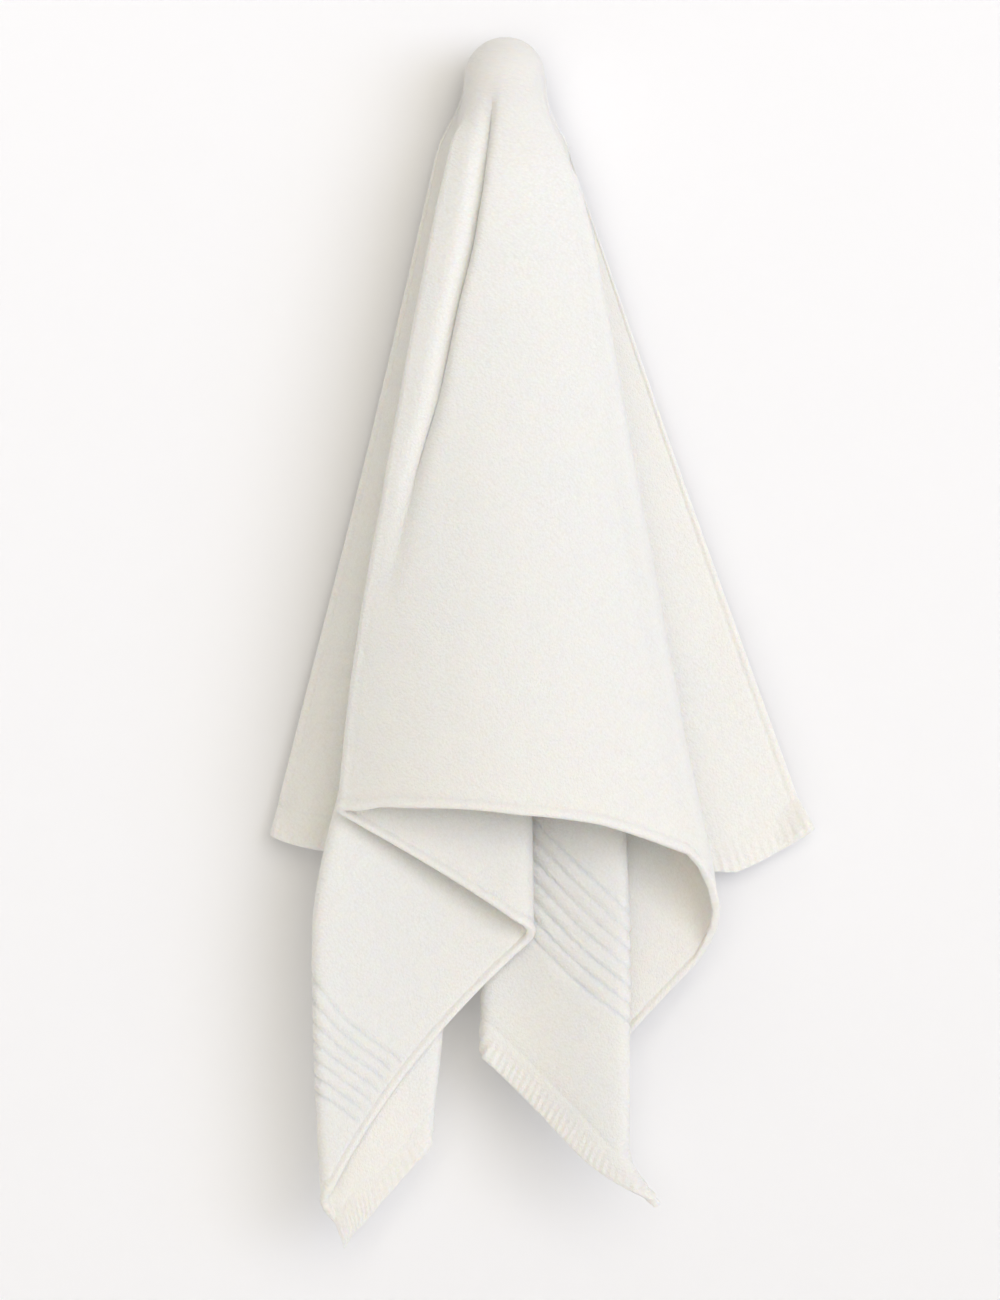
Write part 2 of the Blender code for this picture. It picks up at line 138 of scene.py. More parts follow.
# Drops below the top of the towel at which the tables give a fold's place
ACROSS_DROPS = (0.060, 0.130, 0.300, 0.500, 0.650, 0.800, 0.870)
REACH_DROPS = (0.060, 0.130, 0.600)


class Fold(NamedTuple):
    """A crease that runs down from the peg, where the cloth turns back on itself."""
    name: str
    angle: float        # degrees in the flat cloth, from straight down the front, right positive
    across: tuple       # x of the outside of the crease, at the ACROSS_DROPS
    before: tuple       # reach from the wall of the layer before it, at the REACH_DROPS
    after: tuple        # reach from the wall of the layer after it, at the REACH_DROPS


class Layer(NamedTuple):
    """The cloth between two creases."""
    name: str
    columns: int        # mesh columns across it
    bow: tuple          # how far it swells to the front, at the REACH_DROPS
    peak: float         # where it swells most, as a share of its width


# From the left back edge to the right back edge. Odd rows turn at the right, even ones at the left.
FOLDS = (
    Fold("left back", -79.8, (-0.030, -0.012, 0.002, 0.014, 0.020, 0.024, 0.025),
         (0.038, 0.036, 0.038), (0.042, 0.045, 0.050)),
    Fold("left inner", -64.0, (-0.034, -0.042, -0.072, -0.102, -0.116, -0.120, -0.120),
         (0.048, 0.047, 0.060), (0.052, 0.056, 0.072)),
    Fold("left tail", -54.5, (-0.030, -0.024, -0.038, -0.049, -0.044, -0.0555, -0.082),
         (0.058, 0.058, 0.068), (0.062, 0.068, 0.080)),
    Fold("left corner", -46.6, (-0.034, -0.046, -0.076, -0.108, -0.137, -0.133, -0.127),
         (0.068, 0.070, 0.084), (0.072, 0.080, 0.097)),
    Fold("left rolled", -29.5, (-0.027, -0.008, 0.004, 0.016, 0.019, 0.018, 0.018),
         (0.078, 0.084, 0.090), (0.082, 0.094, 0.112)),
    Fold("front left", -12.0, (-0.033, -0.049, -0.081, -0.113, -0.123, -0.123, -0.123),
         (0.088, 0.094, 0.110), (0.092, 0.103, 0.124)),
    Fold("front right", 25.5, (0.037, 0.058, 0.090, 0.127, 0.153, 0.150, 0.150),
         (0.092, 0.100, 0.128), (0.088, 0.084, 0.062)),
    Fold("right inner", 42.5, (0.032, 0.044, 0.060, 0.060, 0.054, 0.043, 0.040),
         (0.086, 0.083, 0.068), (0.084, 0.084, 0.080)),
    Fold("right corner", math.degrees(math.atan2(TO_RIGHT_END, TO_FRONT_EDGE)),
         (0.032, 0.042, 0.062, 0.080, 0.088, 0.088, 0.132),
         (0.082, 0.085, 0.084), (0.080, 0.087, 0.096)),
    Fold("right tail", 58.5, (0.031, 0.012, 0.000, -0.010, -0.016, -0.016, -0.016),
         (0.076, 0.072, 0.073), (0.072, 0.060, 0.060)),
    Fold("right pleat", 73.8, (0.033, 0.044, 0.070, 0.104, 0.130, 0.140, 0.140),
         (0.062, 0.061, 0.054), (0.058, 0.052, 0.043)),
    Fold("right back", 84.1, (0.031, 0.014, 0.022, 0.032, 0.040, 0.044, 0.044),
         (0.048, 0.048, 0.042), (0.044, 0.039, 0.032)),
)
LEFT_EDGE = Fold("left edge", -90.0, (-0.043, -0.059, -0.099, -0.150, -0.188, -0.226, -0.244),
                 (0.016, 0.016, 0.018), (0.016, 0.016, 0.018))
RIGHT_EDGE = Fold("right edge", 90.0, (0.039, 0.064, 0.123, 0.195, 0.249, 0.303, 0.328),
                  (0.016, 0.016, 0.018), (0.016, 0.016, 0.018))
CREASES = (LEFT_EDGE,) + FOLDS + (RIGHT_EDGE,)
LAYERS = (
    Layer("left back", 10, (0.0, 0.008, 0.024), 0.22),
    Layer("left sixth", 12, (0.0, 0.0, 0.0), 0.5),
    Layer("left fifth", 9, (0.0, 0.0, 0.0), 0.5),
    Layer("left fourth", 12, (0.0, 0.0, 0.002), 0.5),
    Layer("left third", 18, (0.0, 0.0, -0.004), 0.5),
    Layer("left second", 16, (0.0, 0.0, 0.0), 0.5),
    Layer("front", 50, (0.014, 0.014, 0.050), 0.5),
    Layer("right second", 17, (0.0, 0.0, 0.0), 0.5),
    Layer("right nested", 7, (0.0, 0.0, 0.0), 0.5),
    Layer("right third", 15, (0.0, 0.0, 0.0), 0.5),
    Layer("right fourth", 12, (0.0, 0.0, 0.0), 0.5),
    Layer("right fifth", 9, (0.0, 0.0, 0.0), 0.5),
    Layer("right back", 9, (0.0, 0.0, 0.006), 0.65),
)
STRIP_COLUMNS = 11              # behind the knob, on each side
TURN_COLUMNS = 6                # round each crease
FINER = 3                       # places worked out for each mesh column, and twice for each mesh row

# The long valley beside the front's left crease, where the front hangs over a narrow cleft. Lower down it
# opens out and fades beside the crease. The mesh columns that follow it keep to a guide line, farther from
# the crease.
VALLEY_DROPS = (0.034, 0.050, 0.070, 0.095, 0.130, 0.210, 0.262, 0.310, 0.355, 0.420)
VALLEY_ACROSS = (-0.008, -0.0085, -0.0095, -0.0120, -0.0165, -0.0345, -0.0460, -0.0605, -0.0720, -0.0860)
VALLEY_DEPTH = (0.0, 0.003, 0.008, 0.012, 0.014, 0.012, 0.0100, 0.0068, 0.0036, 0.0)
VALLEY_LEFT = 0.0090            # how far its slope reaches at the left, where it is gentle
VALLEY_RIGHT = (0.004, 0.004, 0.004, 0.004, 0.004, 0.004, 0.005, 0.007, 0.008, 0.008)
GUIDE_DROPS = (0.034, 0.050, 0.070, 0.095, 0.130, 0.210, 0.290, 0.370, 0.440, 0.500)
GUIDE_ACROSS = (-0.008, -0.0085, -0.0095, -0.0120, -0.0165, -0.0345, -0.0520, -0.0690, -0.0820, -0.0900)
VALLEY_LEAN = 0.45              # how far the front leans over it, as a share of its depth
LEAN_REACH = 0.0120
VALLEY_SHARE = 0.30             # of the front layer's columns, the one that runs down the valley
VALLEY_CROWDING = 0.6           # how much closer the columns stand beside it

# How much longer the hung cloth is than the flat, by angle: it gives along its bias
GIVE_BY_ANGLE = (
    (-101.3, 0.945),
    (-96.0, 0.960),
    (-80.0, 1.000),
    (-54.0, 1.046),
    (-52.5, 1.056),
    (-51.0, 1.058),
    (-49.5, 1.048),
    (-48.3, 1.046),
    (-29.5, 1.012),
    (-12.0, 0.996),
    (-4.0, 1.004),
    (6.0, 1.006),
    (14.0, 0.996),
    (22.5, 0.997),
    (25.5, 1.040),
    (28.5, 1.066),
    (31.0, 1.060),
    (34.0, 1.051),
    (38.0, 1.038),
    (47.7, 1.019),
    (58.5, 1.020),
    (72.0, 1.000),
    (96.0, 1.015),
    (101.5, 0.980),
)

# Rows of the mesh: how far apart on the knob and just below it, and how many from there to the hem
KNOB_ROW = 0.004
KNOB_ROWS = 15
SHOULDER_ROW = 0.008
SHOULDER_ROWS = 6
LOWER_ROWS = 64


def through(stations, values, at):
    """A smooth curve through a table's values that never swings past them, straight before the first."""
    stations = np.asarray(stations)
    values = np.asarray(values)
    chords = np.diff(values) / np.diff(stations)
    product = chords[:-1] * chords[1:]
    total = np.where(product > 0, chords[:-1] + chords[1:], 1.0)
    inner = np.where(product > 0, 2 * product / total, 0.0)
    slopes = np.concatenate((chords[:1], inner, chords[-1:]))
    index = np.clip(np.searchsorted(stations, at) - 1, 0, len(stations) - 2)
    span = stations[index + 1] - stations[index]
    share = np.clip((at - stations[index]) / span, 0.0, 1.0)
    rise = values[index + 1] - values[index]
    start = slopes[index] * span
    end = slopes[index + 1] * span
    inside = (values[index] + start * share + (3 * rise - 2 * start - end) * share ** 2
              + (start + end - 2 * rise) * share ** 3)
    beyond = np.where(at < stations[0], (at - stations[0]) * slopes[0], 0.0)
    return inside + beyond


def ease(share):
    """A smooth step from nothing to one."""
    share = np.clip(share, 0.0, 1.0)
    return share * share * (3 - 2 * share)


def swell(share, peak):
    """A smooth hump, nothing at both ends and one at its peak."""
    if peak > 0.5:
        return swell(1 - share, 1 - peak)
    power = 1 / peak - 1
    return share * (1 - share) ** power / (peak * (1 - peak) ** power)


class Hang:
    """Each crease's place at a run of drops: its bulge's centre, its depth and both layers."""

    def __init__(self, drops):
        self.drops = drops
        self.outside = np.array([through(ACROSS_DROPS, row.across, drops) for row in CREASES])
        self.before = np.array([through(REACH_DROPS, row.before, drops) for row in CREASES])
        self.after = np.array([through(REACH_DROPS, row.after, drops) for row in CREASES])
        self.side = np.array([1.0 if number % 2 else -1.0 for number in range(len(CREASES))])
        self.bulge = np.zeros_like(self.outside)
        self.tight = np.zeros_like(self.outside)
        for number in range(1, len(CREASES) - 1):
            stand = self.side[number] * (self.outside[number] - self.outside[[number - 1, number + 1]])
            room = BULGE_SHARE * stand.min(axis=0)
            half = np.abs(self.after[number] - self.before[number]) / 2
            self.bulge[number] = np.clip(room, 0.0, np.minimum(half, CREASE_BULGE))
            self.tight[number] = 1 - ease(room / CREASE_ROOM)
        self.centre = self.outside - self.side[:, None] * self.bulge
        self.valley = np.minimum(through(GUIDE_DROPS, GUIDE_ACROSS, drops), GUIDE_ACROSS[0])

    def on_turn(self, number, turn):
        """The point of a crease at a turn from -90 to 90 degrees round it."""
        middle = (self.before[number] + self.after[number]) / 2
        half = (self.after[number] - self.before[number]) / 2
        across = self.centre[number] + self.side[number] * self.bulge[number] * math.cos(turn)
        return across, middle + half * math.sin(turn)

    def arc(self, number):
        """Half the length of cloth that a crease takes up."""
        half = np.abs(self.after[number] - self.before[number]) / 2
        return math.pi / 4 * (half + self.bulge[number])

    def share(self, column):
        """How far across its layer a column lies at each drop, with a back layer's strip included."""
        last = len(FOLDS)
        if LAYERS[column.crease].name == "front":
            start, end = self.centre[column.crease], self.centre[column.crease + 1]
            valley = (self.valley - start) / (end - start)
            if column.share < VALLEY_SHARE:
                return valley * column.share / VALLEY_SHARE
            return valley + (1 - valley) * (column.share - VALLEY_SHARE) / (1 - VALLEY_SHARE)
        if column.crease not in (0, last):
            return np.full_like(self.drops, column.share)
        end = 1 if column.crease == 0 else last
        fan = np.radians(90 - abs(FOLDS[end - 1].angle)) * self.drops - self.arc(end)
        fan = np.maximum(fan, LEAST_FAN)
        from_knob = TO_BACK_EDGE * (column.strip or 0.0)
        if column.crease == 0:
            return (TO_BACK_EDGE - from_knob + fan * column.share) / (TO_BACK_EDGE + fan)
        return (fan * column.share + from_knob) / (TO_BACK_EDGE + fan)

    def line(self, column):
        """Where a column hangs at each drop, as x and as reach from the wall."""
        if column.turn is not None:
            return self.on_turn(column.crease, column.turn)
        share = self.share(column)
        layer = LAYERS[column.crease]
        start, end = column.crease, column.crease + 1
        across = self.centre[start] * (1 - share) + self.centre[end] * share
        rise = self.before[end] - self.after[start]
        reach = self.after[start] + rise * ease(share)
        reach = reach + through(REACH_DROPS, layer.bow, self.drops) * swell(share, layer.peak)
        return across, reach

    def lines(self, columns):
        """All columns' hanging lines, evened out where a crease has no room to turn yet."""
        lines = np.array([self.line(column) for column in columns])
        tight = []
        for column in columns:
            if column.turn is not None:
                tight.append(self.tight[column.crease])
            else:
                tight.append(np.maximum(self.tight[column.crease], self.tight[column.crease + 1]))
        tight = np.array(tight)
        upper = int(np.flatnonzero(tight.max(axis=0) > 0).max()) + 1
        pull = EVENING_PULL * tight[1:-1, None, :upper]
        near_knob = lines[..., :upper].copy()
        for _ in range(EVENING_PASSES):
            near_knob[1:-1] += pull * ((near_knob[:-2] + near_knob[2:]) / 2 - near_knob[1:-1])
        lines[..., :upper] = near_knob
        return lines

    def angle(self, column, distance):
        """The angle in the flat cloth of a column, at distances down it."""
        widths = [0.0, 0.0]
        for place, number in enumerate((column.crease, column.crease + 1)):
            if 0 < number <= len(FOLDS):
                room = min(CREASES[number].angle - CREASES[number - 1].angle,
                           CREASES[number + 1].angle - CREASES[number].angle)
                arc = np.interp(distance, self.drops, self.arc(number))
                widths[place] = np.minimum(np.degrees(arc / distance), CREASE_ANGLE_SHARE * room)
        if column.turn is not None:
            return CREASES[column.crease].angle + widths[0] * column.turn / (math.pi / 2)
        start = CREASES[column.crease].angle + widths[0]
        end = CREASES[column.crease + 1].angle - widths[1]
        share = column.share
        if LAYERS[column.crease].name == "front":
            share = np.interp(distance, self.drops, self.share(column))
        return start + (end - start) * share


class Column(NamedTuple):
    """One line down the cloth, from the peg to the hem: on a crease, or inside a layer."""
    crease: int         # the crease that it lies on, or the one before its layer
    turn: float         # radians round the crease, or None inside a layer
    share: float        # of the way across the layer
    strip: float        # of the way from the knob to the back edge, or None where it starts on the knob


def beside_valley(share):
    """Moves the front layer's columns towards the valley."""
    side = VALLEY_SHARE if share < VALLEY_SHARE else 1 - VALLEY_SHARE
    away = (share - VALLEY_SHARE) / side
    return VALLEY_SHARE + side * away * (1 - VALLEY_CROWDING * (1 - abs(away)) ** 2)


def list_columns():
    """All columns in order, from the left end of the back edge round the front to its right end."""
    last = len(FOLDS)
    strips = [step / (STRIP_COLUMNS * FINER) for step in range(1, STRIP_COLUMNS * FINER + 1)]
    steps = TURN_COLUMNS * FINER
    turns = [math.radians(-90 + 180 * step / steps) for step in range(steps + 1)]
    columns = [Column(0, None, 0.0, strip) for strip in reversed(strips)]
    for number, layer in enumerate(LAYERS):
        count = layer.columns * FINER
        first = 0 if number == 0 else 1
        ending = count + 1 if number == last else count
        shares = [step / count for step in range(first, ending)]
        if layer.name == "front":
            shares = [beside_valley(share) for share in shares]
        columns += [Column(number, None, share, None) for share in shares]
        if number < last:
            columns += [Column(number + 1, turn, 0.0, None) for turn in turns]
    columns += [Column(last, None, 1.0, strip) for strip in strips]
    return columns


def to_hem(angle):
    """From the knob to the cloth's edge along a ray of the flat cloth."""
    ray = math.radians(angle)
    to_end = TO_RIGHT_END if angle > 0 else TO_LEFT_END
    lengths = [to_end / max(abs(math.sin(ray)), NEARLY_NOTHING)]
    if math.cos(ray) > NEARLY_NOTHING:
        lengths.append(TO_FRONT_EDGE / math.cos(ray))
    return min(lengths)


def column_length(column, hang):
    """The length of cloth down a column, and its ray's angle at the hem."""
    if column.strip is not None:
        to_end = TO_LEFT_END if column.crease == 0 else TO_RIGHT_END
        angle = 90 + math.degrees(math.atan2(TO_BACK_EDGE * column.strip, to_end))
        return to_end, -angle if column.crease == 0 else angle
    length = TO_FRONT_EDGE
    for _ in range(HEM_PASSES):
        angle = hang.angle(column, length)
        length = to_hem(angle)
    return length, angle


def on_cap(across, reach):
    """The nearest place on the outline of the cloth over the peg, seen from above."""
    forward = reach - KNOB_REACH
    if forward <= 0:
        return math.copysign(CAP_RADIUS, across), reach
    size = math.hypot(across, forward)
    return CAP_RADIUS * across / size, KNOB_REACH + CAP_RADIUS * forward / size


def column_path(column, line, drops):
    """A dense line of points down a column, from the top of the peg to below the hem."""
    across, reach = line
    free = int(np.searchsorted(drops, FREE_DROP))
    side_across, side_reach = on_cap(across[free], reach[free])
    behind = column.strip or 0.0
    top_reach = KNOB_REACH + (BACK_REACH - KNOB_REACH) * behind
    top_height = CAP_RADIUS - RIDGE_SAG * ease(behind)
    turn = np.linspace(0.0, math.pi / 2, OVER_STEPS + 1)
    over = np.column_stack((side_across * np.sin(turn),
                            -(top_reach + (side_reach - top_reach) * np.sin(turn)),
                            top_height * np.cos(turn)))
    blend = ease((drops - TOP) / (SETTLED_DROP - TOP))
    down = np.column_stack((side_across + (across - side_across) * blend,
                            -(side_reach + (reach - side_reach) * blend),
                            TOP - drops))
    return np.concatenate((over, down))


def press_valley(place, columns):
    """Presses the valley into the front layer, and leans the cloth at its right over it."""
    drop = TOP - place[..., 2]
    middle = through(VALLEY_DROPS, VALLEY_ACROSS, drop)
    depth = np.interp(drop, VALLEY_DROPS, VALLEY_DEPTH)
    right = np.interp(drop, VALLEY_DROPS, VALLEY_RIGHT)
    for number, column in enumerate(columns):
        if LAYERS[column.crease].name != "front":
            continue
        press = depth[number] * (1.0 if column.turn is None else ease(column.turn / (math.pi / 2)))
        offset = place[number, :, 0] - middle[number]
        width = np.where(offset < 0, VALLEY_LEFT, right[number])
        place[number, :, 1] += press * np.exp(-(offset / width) ** 2)
        away = np.maximum(offset, 0.0) / LEAN_REACH
        place[number, :, 0] -= VALLEY_LEAN * press * away * np.exp(1 - away)


class Curl(NamedTuple):
    """A corner of the cloth that turns out of its plane, and how much thicker its rolled hem is there."""
    corner: tuple       # in the flat cloth
    reach: float        # how far from the corner the curl starts
    shift: tuple        # of the corner itself
    swelling: float     # what the hem gains there, as a share of its thickness


CURLS = (
    Curl((TO_RIGHT_END, -TO_BACK_EDGE), 0.030, (0.004, -0.010, 0.001), 0.5),
    Curl((TO_RIGHT_END, TO_FRONT_EDGE), 0.055, (0.000, -0.002, 0.000), 0.45),
    Curl((-TO_LEFT_END, TO_FRONT_EDGE), 0.030, (0.000, -0.003, 0.002), 0.80),
    Curl((-TO_LEFT_END, -TO_BACK_EDGE), 0.026, (0.000, -0.006, 0.000), 0.3),
)


def near_corner(curl, flat):
    """One at a curled corner, and nothing beyond the curl's reach."""
    away = np.hypot(flat[..., 0] - curl.corner[0], flat[..., 1] - curl.corner[1])
    return ease(1 - away / curl.reach)


class Cloth(NamedTuple):
    """The hung cloth worked out on a dense grid of columns and rows."""
    place: np.ndarray       # the middle surface
    flat: np.ndarray        # (u, v) in the flat cloth: right of the knob, and down the front from it
    outward: np.ndarray     # the normal on the face that shows in front


def hang_cloth():
    """The columns and the cloth that hangs along them."""
    drops = np.arange(FIRST_DROP, LOWEST_DROP, DROP_STEP)
    hang = Hang(drops)
    columns = list_columns()
    lines = hang.lines(columns)
    knob = KNOB_ROW / 2 * np.arange(1, 2 * KNOB_ROWS + 1)
    shoulder = knob[-1] + SHOULDER_ROW / 2 * np.arange(1, 2 * SHOULDER_ROWS + 1)
    upper = np.concatenate(((0.0,), knob, shoulder))
    place = []
    flat = []
    for column, line in zip(columns, lines):
        length, angle = column_length(column, hang)
        share = np.arange(1, 2 * LOWER_ROWS + 1) / (2 * LOWER_ROWS)
        distance = np.concatenate((upper, upper[-1] + (length - upper[-1]) * share))
        path = column_path(column, line, drops)
        steps = np.linalg.norm(np.diff(path, axis=0), axis=1)
        travelled = np.concatenate(((0.0,), np.cumsum(steps)))
        give = np.interp(angle, *zip(*GIVE_BY_ANGLE))
        place.append([np.interp(distance * give, travelled, path[:, axis]) for axis in range(3)])
        if column.strip is None:
            ray = np.radians(hang.angle(column, np.maximum(distance, KNOB_ROW)))
            flat.append((distance * np.sin(ray), distance * np.cos(ray)))
        else:
            side = -1.0 if column.crease == 0 else 1.0
            flat.append((side * distance, np.full_like(distance, -TO_BACK_EDGE * column.strip)))
    place = np.array(place).transpose(0, 2, 1)
    flat = np.array(flat).transpose(0, 2, 1)
    press_valley(place, columns)
    for curl in CURLS:
        place += near_corner(curl, flat)[..., None] * np.array(curl.shift)
    across = np.gradient(place, axis=0)
    down = np.gradient(place, axis=1)
    outward = np.cross(down, across)
    outward /= np.maximum(np.linalg.norm(outward, axis=2, keepdims=True), 1e-12)
    outward[:, 0] = (0.0, 0.0, 1.0)
    return columns, Cloth(place, flat, outward)


# Long sides: the cloth is rolled under twice and stitched along the roll's inner side
SIDE_ROLL = 0.0047              # the roll's width, which runs on to the cloth's corners
SIDE_REACH = 0.012              # faces this near a long side are cut along its hem, at the SIDE_CUTS
SIDE_CUTS = (0.0005, 0.0015, 0.0030, 0.0047, 0.0060, 0.0072, 0.0086)
SIDE_THICKNESS = (
    (0.0000, 0.0011),           # from the edge, and half the cloth's thickness there
    (0.0005, 0.0021),
    (0.0015, 0.0029),
    (0.0030, 0.0033),
    (0.0047, 0.0030),
    (0.0060, 0.0022),
    (0.0072, 0.0013),           # the stitch line
    (0.0086, 0.0019),
    (0.0110, 0.0021),
)

# Ends: a wider hem that its stitches gather into short ribs across it
END_HEM = 0.0240
END_REACH = 0.030               # faces this near an end are cut along its hem, at the END_CUTS
RIB_PITCH = 0.0065
RIB_CUTS = 4                    # cuts to a rib
RIB_HEIGHT = 0.0007
RIB_CHANGE = 0.8                # how much stronger or weaker one rib is than another
RIB_CHANGES = (4.0, 40.0)       # to a metre, along the ribs and from one to the next
RIB_CHANGE_LEVEL = 2.0          # of the noise, so that it isn't the pile's
END_CUTS = (0.0006, 0.0020, 0.0050, 0.0120, 0.0200, 0.0230, 0.0245, 0.0265)
END_THICKNESS = (
    (0.0000, 0.0011),
    (0.0006, 0.0017),
    (0.0020, 0.0022),
    (0.0050, 0.0024),
    (0.0120, 0.0024),
    (0.0200, 0.0022),
    (0.0230, 0.0019),
    (0.0245, 0.0014),
    (0.0265, 0.0020),
)
END_RIBS = (
    (0.0000, 0.5),              # from the edge, and how much of the ribs' height shows there
    (0.0050, 1.0),
    (0.0120, 0.7),
    (0.0200, 0.1),
    (0.0265, 0.0),
)

# The border near each end: bands of pile between narrow grooves of flat weave that run in one long wave
BORDER_START = 0.100            # from the end to the first groove
GROOVES = 7
GROOVE_PITCH = 0.0103


class Wave(NamedTuple):
    """How the border's lines swing out and back across the cloth."""
    height: float
    length: float
    crest: float        # how far down the front they first stand farthest out


RIGHT_WAVE = Wave(0.005, 0.24, 0.420)
LEFT_WAVE = Wave(0.012, 0.20, 0.485)
BORDER_REACH = BORDER_START + GROOVES * GROOVE_PITCH + 2 * LEFT_WAVE.height

# Where the mesh is cut beside a groove's middle, and the form of the face there
GROOVE_CUTS = (-0.0024, -0.0008, 0.0008, 0.0024, 0.0052)
GROOVE_RELIEF = (
    (-0.0052, 0.00020),         # from a groove's middle, and how far the face stands out there
    (-0.0024, 0.00050),
    (-0.0008, -0.00125),
    (0.0008, -0.00125),
    (0.0024, 0.00060),
    (0.0052, 0.00020),
)
GROOVES_SHOW = (
    (-0.128, 0.3),              # down the front, and how much of the grooves' relief shows there: the pile of
    (0.100, 0.45),              # the hidden back is brushed over them
    (0.300, 1.0),
)

HALF_PILE = CLOTH_THICKNESS / 2
UNEVENNESS = 0.00045            # of the pile's face
UNEVEN_PATCHES = 38.0           # to a metre
SAME_LINE = 0.0003              # a cut this near a point goes through it

# The map for baking: both faces unfolded on the unit square, one above the other, and the edge as a strip
BAKE_SCALE = 0.68
FRONT_FACE_HEIGHT = 0.25        # of each face's middle
BACK_FACE_HEIGHT = 0.75
EDGE_STRIP = 0.002


def border_wave(right, down):
    """How far outwards the border's lines swing at a place on the cloth."""
    waves = [wave.height * np.cos(2 * np.pi * (down - wave.crest) / wave.length)
             for wave in (LEFT_WAVE, RIGHT_WAVE)]
    return np.where(right > 0, waves[1], waves[0])


def cut_lines(sheet, faces, axis, places):
    """Cuts faces of the flat sheet along straight lines that stand across an axis."""
    across = [0.0, 0.0, 0.0]
    across[axis] = 1.0
    waiting = [(min(corner.co[axis] for corner in face.verts), number, face)
               for number, face in enumerate(faces)]
    waiting.sort(reverse=True)
    active = []
    for place in sorted(places):
        while waiting and waiting[-1][0] < place:
            active.append(waiting.pop()[2])
        active = [face for face in active if max(corner.co[axis] for corner in face.verts) > place]
        edges = {edge for face in active for edge in face.edges}
        corners = {corner for face in active for corner in face.verts}
        point = [place * share for share in across]
        result = bmesh.ops.bisect_plane(sheet, geom=active + list(edges) + list(corners),
                                        dist=SAME_LINE, plane_co=point, plane_no=across)
        active = [face for face in result["geom"] if isinstance(face, bmesh.types.BMFace)]


def faces_beyond(sheet, axis, place, side):
    """The flat sheet's faces that reach beyond a line, on one side of the cloth."""
    return [face for face in sheet.faces
            if max(side * corner.co[axis] for corner in face.verts) > side * place]


def flat_sheet(columns, cloth):
    """The flat cloth's mesh, cut along its hems, ribs and grooves. Each point keeps its place on the grid."""
    sheet = bmesh.new()
    grid = sheet.verts.layers.float_vector.new("grid")
    tops = {}
    lines = []
    for number in range(0, len(columns), FINER):
        line = []
        for row in range(0, cloth.place.shape[1], 2):
            top = columns[number].strip or 0.0
            if row == 0 and top in tops:
                line.append(tops[top])
                continue
            point = sheet.verts.new((*cloth.flat[number, row], 0.0))
            point[grid] = (number, row, 0.0)
            line.append(point)
            if row == 0:
                tops[top] = point
        lines.append(line)
    for line, following in zip(lines, lines[1:]):
        for row in range(len(line) - 1):
            corners = (line[row], line[row + 1], following[row + 1], following[row])
            sheet.faces.new(list(dict.fromkeys(corners)))
    for end, side in ((TO_RIGHT_END, 1), (-TO_LEFT_END, -1)):
        cut_lines(sheet, faces_beyond(sheet, 0, end - side * END_REACH, side), 0,
                  [end - side * distance for distance in END_CUTS])
        ribs = int((TO_FRONT_EDGE + TO_BACK_EDGE) / RIB_PITCH * RIB_CUTS)
        cut_lines(sheet, faces_beyond(sheet, 0, end - side * END_HEM, side), 1,
                  [TO_FRONT_EDGE - (step + 0.5) * RIB_PITCH / RIB_CUTS for step in range(ribs)])
    for edge, side in ((TO_FRONT_EDGE, 1), (-TO_BACK_EDGE, -1)):
        cut_lines(sheet, faces_beyond(sheet, 1, edge - side * SIDE_REACH, side), 1,
                  [edge - side * distance for distance in SIDE_CUTS])
    wave = sheet.verts.layers.float.new("wave")
    for corner in sheet.verts:
        corner[wave] = math.copysign(1.0, corner.co.x) * border_wave(corner.co.x, corner.co.y)
        corner.co.x -= corner[wave]
    for end, side in ((TO_RIGHT_END, 1), (-TO_LEFT_END, -1)):
        places = [end - side * (BORDER_START + number * GROOVE_PITCH + step)
                  for number in range(GROOVES) for step in GROOVE_CUTS]
        cut_lines(sheet, faces_beyond(sheet, 0, end - side * BORDER_REACH, side), 0, places)
    for corner in sheet.verts:
        corner.co.x += corner[wave]
    wide = [face for face in sheet.faces if len(face.verts) > 4]
    bmesh.ops.triangulate(sheet, faces=wide)
    return sheet


def on_grid(values, grid):
    """Smooth values at places between the grid's columns and rows, by a cubic through the nearest four."""
    whole = np.floor(grid).astype(int)
    part = grid - whole
    total = 0.0
    for across in range(-1, 3):
        for down in range(-1, 3):
            share = 1.0
            for axis, step in ((0, across), (1, down)):
                away = np.abs(part[:, axis] - step)
                share = share * np.where(away < 1, 1.5 * away ** 3 - 2.5 * away ** 2 + 1,
                                         -0.5 * away ** 3 + 2.5 * away ** 2 - 4 * away + 2)
            column = np.clip(whole[:, 0] + across, 0, values.shape[0] - 1)
            row = np.clip(whole[:, 1] + down, 0, values.shape[1] - 1)
            total = total + share[:, None] * values[column, row]
    return total


